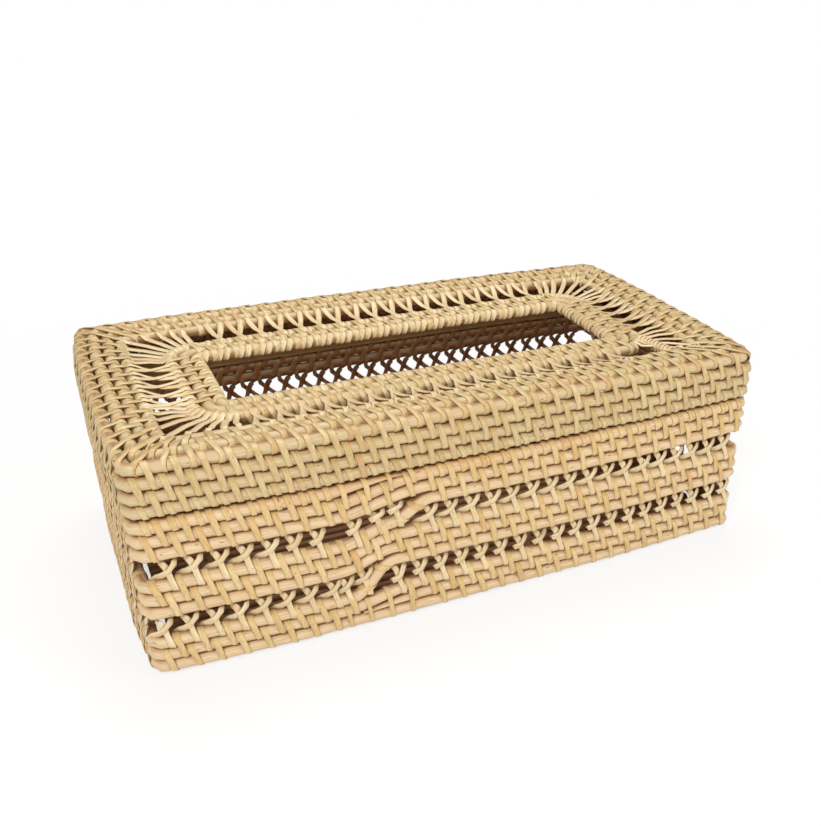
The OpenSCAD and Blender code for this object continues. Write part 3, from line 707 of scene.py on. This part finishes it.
def rattan(name, pale, middle, deep, warm, strip):
    """Rattan with its lengthwise fibres, for round cane or for flat strip. Its place comes from
    grain, and lightness, warmth and painted shade, where it faces inwards or lies against a
    neighbour, from tone."""
    f = Finish(name)
    grain = f.attribute("grain")
    lightness, warmth, inward = f.parts(f.attribute("tone"))
    fibre = f.noise(f.scaled(grain, (0.05, 2.6, 2.6)), 3.0, 0.6)
    fine = f.noise(f.scaled(grain, (0.09, 5.0, 5.0)), 2.0, 0.6)
    patch = f.noise(f.scaled(grain, (0.11, 0.25, 0.25)), 2.0, 0.5)
    body = (fibre * 0.55 + fine * 0.35 + patch * 0.5 + lightness * 0.75 - 0.62).clamp()
    colour = f.mix(body, linear(middle), linear(pale))
    reddish = (warmth * 1.25 + patch * 0.7 - 0.88).clamp()
    colour = f.mix(reddish * 0.75, colour, linear(warm))
    # Fine dull streaks between the fibres
    dull = (1 - fine.step(0.34, 0.5)) * (0.35 if strip else 0.5)
    colour = f.mix(dull, colour, linear(deep))
    # Nicks, dark specks and thin cracks that run with the fibres
    specks = f.noise(f.scaled(grain, (0.35, 1.5, 1.5)), 1.0, 0.4).step(0.735, 0.765)
    cracks = (f.noise(f.scaled(grain, (0.05, 3.8, 3.8)), 1.0, 0.4).step(0.70, 0.74)
              * patch.step(0.5, 0.62))
    colour = f.mix((specks + cracks * 0.7).clamp() * 0.7, colour, linear(NICK))
    if strip:
        # The edges of the peel are cut through its skin
        edge_line = f.parts(grain)[1].absolute().step(1.0, 1.3)
        colour = f.mix(edge_line * 0.45, colour, linear(deep))
        f.set(Coat_Weight=0.22, Coat_Roughness=0.28)
    else:
        f.set(Coat_Weight=0.08, Coat_Roughness=0.35)
    # Painted shade: brown where a side faces the inside of the box or lies against a neighbouring
    # cane
    colour = f.mix(inward * 0.88, colour, linear(PAINTED_SHADE))
    rough = STRIP_ROUGH if strip else ROUGH
    f.set(Base_Color=colour, Roughness=(fibre * 0.25 + rough).clamp(), Specular_IOR_Level=0.45)
    f.bump(fibre * 0.6 + fine * 0.4, 0.5, 0.00025)
    return f.material


def plain(name, light, dark, fibres, patches, shares, relief):
    """Plain wood or cane, from the scales of its fibres and patches each way, the shares that they
    have in its colour, less a start, and how strong its relief is."""
    f = Finish(name)
    place = f.object_place()
    fibre = f.noise(f.scaled(place, fibres), 3.0, 0.6)
    patch = f.noise(f.scaled(place, patches))
    share = (fibre * shares[0] + patch * shares[1] - shares[2]).clamp()
    f.set(Base_Color=f.mix(share, linear(dark), linear(light)),
          Roughness=(fibre * 0.3 + PLAIN_ROUGH).clamp())
    f.bump(fibre, relief, 0.0003)
    return f.material


base_cane_finish = rattan("base cane", "ead5ae", "dcbb8a", "ae7d42", "dba87a", False)
lid_cane_finish = rattan("lid cane", "ddcda4", "ccb280", "9c763f", "caa276", False)
base_strip_finish = rattan("base lashing", "e9d09a", "d8b372", "a87436", "d0975a", True)
lid_strip_finish = rattan("lid lashing", "dfca98", "cbaa70", "9c7438", "cf9462", True)
strand_finish = rattan("lace strand", "ecd9b0", "d9bd8b", "ae8048", "d6aa7c", True)


# Base

def hoop_rings(line):
    """Distances of the rings of a closed cane."""
    count = round(line.length / HOOP_STEP)
    return np.arange(count) * line.length / count


BASE_LIGHT = 0.55
assemble("base_foot", [cane_tube(foot, hoop_rings(base_line), True, BASE_LIGHT)],
         "base", base_cane_finish, ["base_foot_cane"])

taper_run = TAPER_SHARE * (CLIMB_END - CLIMB_START)
coil_start = CLIMB_END - taper_run
coil_stop = TURNS * base_line.length + CLIMB_START + taper_run
ring_count = round((coil_stop - coil_start) / COIL_STEP)
along_coil = np.linspace(coil_start, coil_stop, ring_count)
grow = np.clip((along_coil - coil_start) / taper_run, TIP, 1)
thin = np.clip((coil_stop - along_coil) / taper_run, TIP, 1)
high = np.minimum(grow, thin)
lift = np.where(grow < thin, -1, 1) * (1 - high) * BASE_R
# The cane reddens round the climb and at the front of its last turn, in spaces along that turn
COIL_WARM, RIM_WARM = 0.28, 0.5
rim_place = (along_coil - (TURNS - 1) * base_line.length) / SPACE
warm = COIL_WARM + RIM_WARM * soft(rim_place, -9.0, -6.0) * (1 - soft(rim_place, 4.0, 8.0))
warm += RIM_WARM * soft(rim_place - base_line.length / SPACE, -11.0, -8.5)
assemble("base_coil", [cane_tube(coil, along_coil, False, BASE_LIGHT, warm, squash=(high, lift))],
         "base", base_cane_finish, [f"base_turn_{i}" for i in range(1, TURNS + 1)])

climb = (CLIMB_START - CLIMB_CLEAR, CLIMB_END + CLIMB_CLEAR)


def base_pair(low, high, s):
    """Centres of two turns at the same places, and the way that they run."""
    return turn_centre(low, s), turn_centre(high, s), coil.along(s)


# Rows of lashings: the lower cane, its shift in spaces, the places on the climb of the pair
# one turn on, and the places right of the step, both in spaces from the middle of the front
ROWS = [
    (0, 0.0, [], []), (1, 0.5, [-6.2], [-3.5]), (3, 0.5, [-5.95, -5.0], [-3.5]),
    (4, 0.0, [-6.45, -5.45, -4.6], [-4.0, -3.0]), (6, 0.0, [-6.45, -5.45, -4.45, -3.45], []),
    (7, 0.5, [], []),
]
# Stitches over the coil's thinned start and end, in spaces, and wraps on the two steps: the row
# that holds them, the turn that steps, and their places in millimetres
START_STITCHES = np.array([-6.4, -5.45, -4.5, -3.5])
END_STITCHES = np.array([-6.3, -5.3, -4.3, -3.3])
STEP_WRAPS = {3: (3, [-47.5, -41.0]), 4: (6, [-33.5, -27.0])}
BASE_SLANT = 3.1
# How far the coil's end sinks into the rim, in radii, and the least that it stays above it
END_SINK, LEAST_RISE = 0.4, 0.6
for number, (k, shift, left, right) in enumerate(ROWS, 1):
    spots = places(base_line, shift, gap=climb)
    groups = [lash(*base_pair(k, k + 1, spots), BASE_R, slant=BASE_SLANT, light=0.52, warm=0.34)]
    for first, chosen in ((k + 1, left), (k, right)):
        if chosen:
            spots = np.array(chosen) * SPACE
            groups.append(lash(*base_pair(first, first + 1, spots), BASE_R, slant=BASE_SLANT))
    if number == 1:
        pair = base_pair(0, 2, START_STITCHES * SPACE)
        groups.append(lash(*pair, BASE_R, slant=2.4, width=(1.8, 2.2)))
    if number in STEP_WRAPS:
        turn, wound = STEP_WRAPS[number]
        spots = on_turn(turn, np.array(wound))
        groups.append(wind(coil.centre(spots), coil.heading(spots), BASE_R, (2.2, 2.6), 3.4))
    if number == len(ROWS):
        # The coil's end lies on the rim and sinks into it where it is thin
        spots = END_STITCHES * SPACE
        a, b = turn_centre(TURNS, spots), coil.centre(spots + TURNS * base_line.length)
        left_of_end = np.clip((CLIMB_START + taper_run - spots) / taper_run, TIP, 1)
        b[:, 2] += (1 - left_of_end) * BASE_R * END_SINK
        b = np.where(b[:, 2:] - a[:, 2:] > LEAST_RISE, b, a + [0, 0, LEAST_RISE])
        groups.append(lash(a, b, coil.along(spots), BASE_R, slant=2.0, width=(1.9, 2.4)))
    assemble(f"base_lashing_row_{number}", groups, "base", base_strip_finish,
             [f"base_lashing_{number}"])

# The flat band inside the rim, up to the height of its solid
BAND_DROP, BAND_GAP, BAND_BEND, BAND_THICK, BAND_RINGS = 2.0, 1.2, 2.5, 1.0, 300
band_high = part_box("base_collar")[1][2] / MM
band_low = level(TURNS) - BAND_DROP
band_line = bowed_line(base_inset + BASE_R * FULL + BAND_GAP, BAND_BEND)
xy, h = band_line.at(np.arange(BAND_RINGS) * band_line.length / BAND_RINGS)
centres = np.concatenate([xy, np.full((BAND_RINGS, 1), (band_low + band_high) / 2)], -1)
inward = np.stack([-np.sin(h), np.cos(h), np.zeros(BAND_RINGS)], -1)
band = strips(centres[None], inward[None], band_high - band_low, True, strip_tones(1), BAND_THICK)
bent_wood = plain("inside band", "b98f58", "8a6238", (35.0, 35.0, 900.0), (30.0, 30.0, 60.0),
                  (0.7, 0.6, 0.2), 0.3)
assemble("base_inside_band", [band], "base", bent_wood, ["base_collar"])

spots = places(base_line, 0.0, gap=climb)
rim = turn_centre(TURNS, spots)
assemble("base_rim_winding", [wind(rim, coil.along(spots), BASE_R, slant=1.4, warm=0.45)],
         "base", base_strip_finish, ["base_rim_wraps"])


def lace(name, k, shift, left, right, hooked, replaced):
    """An open row over turn k: a falling and a rising strand at each space. Left and right are
    places beside the step, in spaces; strands between the two hooked places are hooked."""
    around = away_from_bends(base_line, places(base_line, shift, gap=climb), LACE_CLEAR)
    left, right = np.array(left) * SPACE, np.array(right) * SPACE
    groups = []
    for first, spots in ((k, around), (k + 1, left), (k, right)):
        hook = (spots > hooked[0]) & (spots < hooked[1])
        for chosen, rising in ((~hook, rising_strand(BASE_R)), (hook, hooked_strand(BASE_R))):
            if chosen.any():
                a, b, ahead = base_pair(first, first + 1, spots[chosen])
                groups.append(strands(a, b, ahead, falling_strand(BASE_R), (2.6, 3.0), 0.62, 0.2))
                groups.append(strands(a, b, ahead, rising, (2.4, 2.8), 0.78, 0.12))
    assemble(name, groups, "base", strand_finish, replaced)


lace("base_lower_lace", 2, 0.0, [-6.45, -5.6], [-4.0, -3.0], (-36, base_line.bend_start),
     ["base_lower_strands"])
lace("base_upper_lace", 5, 0.5, [-5.95, -4.95, -4.1], [], (-80, -34), ["base_upper_strands"])


# Lid

def hoops(name, canes, replaced, light, warm, seam_shades):
    """The closed canes of one part of the lid, as one piece."""
    groups = []
    for cane in canes:
        tint = light + rng.normal(0, TINT_SPREAD)
        groups.append(cane_tube(cane, hoop_rings(cane.line), True, tint, warm, seam_shades))
    assemble(name, groups, "lid", lid_cane_finish, replaced)


hoops("lid_skirt_canes", skirts + [edge],
      [f"lid_skirt_cane_{i}" for i in (1, 2, 3)] + ["lid_edge_cane"], 0.46, 0.24, (0, 1))
hoops("lid_top_canes", tops, [f"lid_top_cane_{i}" for i in (1, 2, 3)], 0.4, 0.36, (1, 0))
hoops("lid_slot_canes", slots, [f"lid_slot_cane_{i}" for i in (1, 2, 3)], 0.4, 0.36, (1, 0))

# Rows of the lid: width of the strips, their slant, lightness and warmth
NARROW, BROAD = (2.4, 2.8), (2.8, 3.3)
LID_ROWS = [
    (NARROW, 2.7, 0.46, 0.26), (NARROW, 2.7, 0.46, 0.26), (NARROW, 2.7, 0.5, 0.33),
    (NARROW, 2.7, 0.5, 0.58), (BROAD, 2.7, 0.5, 0.33), (BROAD, 2.7, 0.5, 0.33),
    (BROAD, 2.6, 0.55, 0.3), (BROAD, 2.6, 0.55, 0.3),
]
lid_canes = skirts + [edge] + tops
neighbours = list(zip(lid_canes, lid_canes[1:])) + list(zip(slots, slots[1:]))
for number, ((outer, inner), looks) in enumerate(zip(neighbours, LID_ROWS), 1):
    spots = places(outer.line, 0.5 * (number % 2))
    inner_centre = inner.centre(outer.line.match(spots, inner.line))
    groups = [lash(outer.centre(spots), inner_centre, outer.along(spots), LID_R, *looks)]
    if number == 1:
        spots = places(outer.line, 0.0)
        groups.append(wind(outer.centre(spots), outer.along(spots), LID_R, slant=2.0))
    assemble(f"lid_lashing_row_{number}", groups, "lid", lid_strip_finish,
             [f"lid_lashing_{number}"])

# Wraps on the innermost and outermost cane round the slot: the cane, shift, width and slant
SLOT_WRAPS = [(2, 1 / 3, (2.8, 3.1), 1.6), (2, 2 / 3, (2.8, 3.1), 1.6), (0, 0.0, (2.0, 2.4), 2.0)]
groups = []
for which, shift, width, slant in SLOT_WRAPS:
    cane = slots[which]
    spots = places(cane.line, shift)
    groups.append(wind(cane.centre(spots), cane.along(spots), LID_R, width, slant, light=0.35))
assemble("lid_slot_winding", groups, "lid", strand_finish, ["lid_slot_wraps"])


def crossing_strand(r, at_a, at_b, lift):
    """Keys of a strand over cane a, across the top's open row and over cane b. It crosses the
    canes at_a and at_b to one side, and the row's middle lifted a little."""
    half = (LID_OPEN_ROW + LID_CANE) / 2
    return [
        (at_a * 1.1, -0.3 * r, -r - 0.25, 0, -0.2, -1),
        (at_a * 1.05, 0.8 * r, -0.6 * r, 0, 0.8, -0.6),
        (at_a, r + 0.45, 0.2, 0, 1, 0), (at_a * 0.9, 0.85 * r, r + 0.4, 0, 0.8, 0.5),
        ((at_a + at_b) / 2, 0.4 + lift, half, 0, 1, 0),
        (at_b * 0.9, 0.7 * r, -r - 0.3, 1, 0.8, -0.5),
        (at_b, r + 0.2, -0.2, 1, 1, 0), (at_b * 1.05, 0.8 * r, 0.6 * r, 1, 0.8, 0.6),
        (at_b * 1.1, -0.3 * r, r + 0.25, 1, -0.2, 1)]


def across_open_row(spots):
    """Outer and inner cane centres straight across the top's open row, and the way they run."""
    inner_centre, ahead = slots[0].centre(spots), slots[0].along(spots)
    out = np.cross(ahead, UPWARDS)
    side = np.round(slots[0].line.at(spots)[1] / (math.pi / 2))
    from_middle = (inner_centre * ahead).sum(-1)
    across = tops[2].centre(side * tops[2].line.quarter + from_middle) - inner_centre
    far = (across * out).sum(-1, keepdims=True)
    return inner_centre + out * far + UPWARDS * across[:, 2:], inner_centre, ahead


spots = away_from_bends(slots[0].line, places(slots[0].line, 0.25), CROSSING_CLEAR)
a, b, ahead = across_open_row(spots)
long_side = np.abs(ahead[:, 0]) > 0.5
groups = []
# Pairs that meet at the inner band on the long sides, and that cross in mid row at the ends
for chosen, at_a, at_b, width in ((long_side, 2.9, -0.5, (2.7, 3.1)),
                                  (~long_side, 2.4, -2.2, (2.7, 3.2))):
    for hand, lift in ((1, 0.5), (-1, 0.0)):
        keys = crossing_strand(LID_R, hand * at_a, hand * at_b, lift)
        groups.append(strands(a[chosen], b[chosen], ahead[chosen], keys, width, 0.45, 0.3))
assemble("lid_open_row", groups, "lid", strand_finish, ["lid_strands"])


# Shares of a corner's quarter turn that its fanned strands point to, and where the lid's step
# leaves no room for them
FAN_SHARES = (0.04, 0.15, 0.26, 0.38, 0.5, 0.62, 0.74, 0.85, 0.96)
STEP_FROM = 0.7
FAN_LEAN, FAN_LIFT = 1.6, 0.15


def fan(sx, sy):
    """Strands fanned out round a corner of the inner band, from its cane to the outer band."""
    centre = np.array([sx * slot_corner[0], sy * slot_corner[1], slot_level])
    room_x = LENGTH / 2 - inner_inset - slot_corner[0]
    room_y = WIDTH / 2 - inner_inset - slot_corner[1] - SIDE_BOW * 0.8
    step_here = sx > 0 and sy < 0
    groups = []
    for share in FAN_SHARES:
        if step_here and share > STEP_FROM:
            continue
        c, s = math.cos(share * math.pi / 2), math.sin(share * math.pi / 2)
        way = np.array([sx * c, sy * s, 0.0])
        side = np.cross(way, UPWARDS) * sx * sy * FAN_LEAN
        near = centre + way * (tight + 2 * LID_PITCH)
        far = centre + way * min(room_x / c, room_y / s) + UPWARDS * 0.5 * DISH
        keys = np.array([
            near - way * (LID_R + 0.4) - UPWARDS * 0.6, near + UPWARDS * (LID_R + 0.3),
            near + way * (LID_R + 1.0) + UPWARDS * 1.1 + side * 0.2,
            (near + far) / 2 + UPWARDS * 1.4 + side * 0.8,
            far - way * (LID_R + 1.0) + UPWARDS * 1.1 + side,
            far + UPWARDS * (LID_R + 0.3) + side * 0.9,
            far + way * (LID_R + 0.5) - UPWARDS * 0.3 + side * 0.8])
        keys = keys + UPWARDS * rng.uniform(-FAN_LIFT, FAN_LIFT)
        normals = np.array([-way] + [UPWARDS] * (len(keys) - 2) + [way])
        groups.append(strips(smooth_path(keys[None], FAN_RINGS),
                             smooth_path(normals[None], FAN_RINGS),
                             rng.uniform(2.4, 3.0), False, strip_tones(1, 0.45, 0.3)))
    return groups


groups = []
for sx in (-1, 1):
    for sy in (-1, 1):
        groups += fan(sx, sy)
assemble("lid_corner_fans", groups, "lid", strand_finish, ["lid_corner_strands"])


class StraightCane:
    """A short straight cane between two points."""

    def __init__(self, start, end, radius):
        self.start, self.end, self.radius = start, end, radius
        self.way = unit(end - start)
        self.phases = np.zeros((1, 1))

    def centre(self, s):
        return self.start + np.asarray(s)[:, None] * self.way

    def heading(self, s):
        return np.broadcast_to(self.way, (len(s), 3))


# The lid's step, from beside the inner band to under the outer one
step_x = slot_corner[0] + tight + 2 * LID_PITCH
step = StraightCane(
    np.array([step_x + 0.6, -(slot_corner[1] + 6.5), slot_level + 0.6]),
    np.array([step_x + 1.8, inner_inset - WIDTH / 2 + 1.5, slot_level + 0.7 * DISH]),
    STEP_CANE / 2)
step_length = float(np.linalg.norm(step.end - step.start))
STEP_RINGS, STEP_TURNS, STEP_BARE = 9, 10, 0.8
assemble("lid_step", [cane_tube(step, np.linspace(0, step_length, STEP_RINGS), False, 0.5)],
         "lid", lid_cane_finish, ["lid_step_cane"])
s = np.linspace(STEP_BARE, step_length - STEP_BARE, STEP_TURNS)
assemble("lid_step_winding",
         [wind(step.centre(s), step.heading(s), STEP_CANE / 2, (1.3, 1.6), 0.9, warm=0.25)],
         "lid", strand_finish, ["lid_step_wraps"])


# Solids that stay, with their materials: fibres that run lengthwise or crosswise, and the rest
ALONG_X, ALONG_Y = (25.0, 1400.0, 1400.0), (1400.0, 25.0, 1400.0)
# The floor's browns are deeper than the walls' cane, as painted shade for the dark inside of the
# box
FLOOR_LOOK = ((60.0, 200.0, 60.0), (0.8, 0.7, 0.3), 0.4)
stay = {
    "floor_canes": plain("floor cane", "a9784a", "85532b", ALONG_X, *FLOOR_LOOK),
    "floor_lashings": plain("floor lashing", "a8753c", "7d4d22", ALONG_Y, *FLOOR_LOOK),
    "floor_battens": plain("batten", "9c6c3c", "774a24", ALONG_Y, *FLOOR_LOOK),
}
for node, material in stay.items():
    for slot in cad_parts[node].material_slots:
        slot.material = material

for mesh, _, _ in TEMPLATES.values():
    bpy.data.meshes.remove(mesh)


# Studio

FLOOR_SIZE, FLOOR_BELOW = 12.0, 0.0001
WHITE = (1, 1, 1, 1)
bpy.ops.mesh.primitive_plane_add(size=FLOOR_SIZE, location=(0, 0, -FLOOR_BELOW))
floor = bpy.context.object
floor.name = "studio_floor"
f = Finish("studio floor")
f.set(Base_Color=(0.9, 0.9, 0.9, 1), Roughness=0.9, Specular_IOR_Level=0.0)
glow = f.node("ShaderNodeEmission", None, {0: WHITE, 1: 1.0})
seen = Value(f, f.node("ShaderNodeLightPath").outputs["Is Camera Ray"])
x, y, _ = f.parts(f.object_place())
# The floor shows the box's shadow near it and turns white further off, by its distance squared
away = (x * x + y * y).step(0.03, 0.14)
both = f.node("ShaderNodeMixShader", None, {0: seen * (away * 0.28 + 0.72),
                                            1: Value(f, f.shader.outputs[0]),
                                            2: Value(f, glow.outputs[0])})
f.put(f.tree.nodes["Material Output"].inputs[0], Value(f, both.outputs[0]))
floor.data.materials.append(f.material)

world = bpy.data.worlds.new("studio")
bpy.context.scene.world = world
world.use_nodes = True
nodes, links = world.node_tree.nodes, world.node_tree.links
paths = nodes.new("ShaderNodeLightPath")
room = nodes["Background"]
room.inputs["Color"].default_value = (1.0, 0.97, 0.93, 1)
room.inputs["Strength"].default_value = 0.33
white = nodes.new("ShaderNodeBackground")
white.inputs["Color"].default_value = WHITE
white.inputs["Strength"].default_value = 1.0
blend = nodes.new("ShaderNodeMixShader")
links.new(paths.outputs["Is Camera Ray"], blend.inputs[0])
links.new(room.outputs[0], blend.inputs[1])
links.new(white.outputs[0], blend.inputs[2])
links.new(blend.outputs[0], nodes["World Output"].inputs[0])


def lamp(name, place, aim, size, power):
    """A square area lamp that points at a place; sizes in metres, power in watts."""
    data = bpy.data.lights.new(name, "AREA")
    data.size = size
    data.energy = power
    obj = bpy.data.objects.new(name, data)
    obj.location = place
    obj.rotation_euler = (Vector(aim) - Vector(place)).to_track_quat("-Z", "Y").to_euler()
    bpy.context.scene.collection.objects.link(obj)


lamp("key", (-0.55, -0.75, 0.95), (0, 0, 0.04), 0.5, 9.8)
lamp("fill", (0.9, -0.7, 0.6), (0, 0, 0.04), 0.8, 4.4)
lamp("top", (0.1, 0.35, 1.1), (0, 0, 0.05), 0.7, 6.0)

# Camera, in the photograph's place: angles in radians, place in metres, lens in pixels
AZIMUTH, ELEVATION, ROLL = -0.4758, 0.5306, 0.0297
CAMERA_AT = (-0.14017, -0.35671, 0.23370)
FOCAL_PX, CENTRE_PX = 963.1, (500.5, 496.4)
FRAME_W, FRAME_H = 821, 826
SENSOR_MM, NEAR_CLIP = 36.0, 0.01
back = Vector((math.sin(AZIMUTH) * math.cos(ELEVATION), -math.cos(AZIMUTH) * math.cos(ELEVATION),
               math.sin(ELEVATION)))
right = Vector((math.cos(AZIMUTH), math.sin(AZIMUTH), 0))
up = back.cross(right)
rolled_right = math.cos(ROLL) * right + math.sin(ROLL) * up
rolled_up = math.cos(ROLL) * up - math.sin(ROLL) * right
data = bpy.data.cameras.new("camera")
data.sensor_fit = "HORIZONTAL"
data.sensor_width = SENSOR_MM
data.lens = FOCAL_PX / FRAME_W * SENSOR_MM
data.shift_x = (FRAME_W / 2 - CENTRE_PX[0]) / FRAME_W
data.shift_y = (CENTRE_PX[1] - FRAME_H / 2) / FRAME_W
data.clip_start = NEAR_CLIP
camera = bpy.data.objects.new("camera", data)
camera.matrix_world = Matrix.Translation(CAMERA_AT) @ Matrix(
    (rolled_right, rolled_up, back)).transposed().to_4x4()
bpy.context.scene.collection.objects.link(camera)
bpy.context.scene.camera = camera
bpy.context.scene.view_settings.view_transform = "Standard"
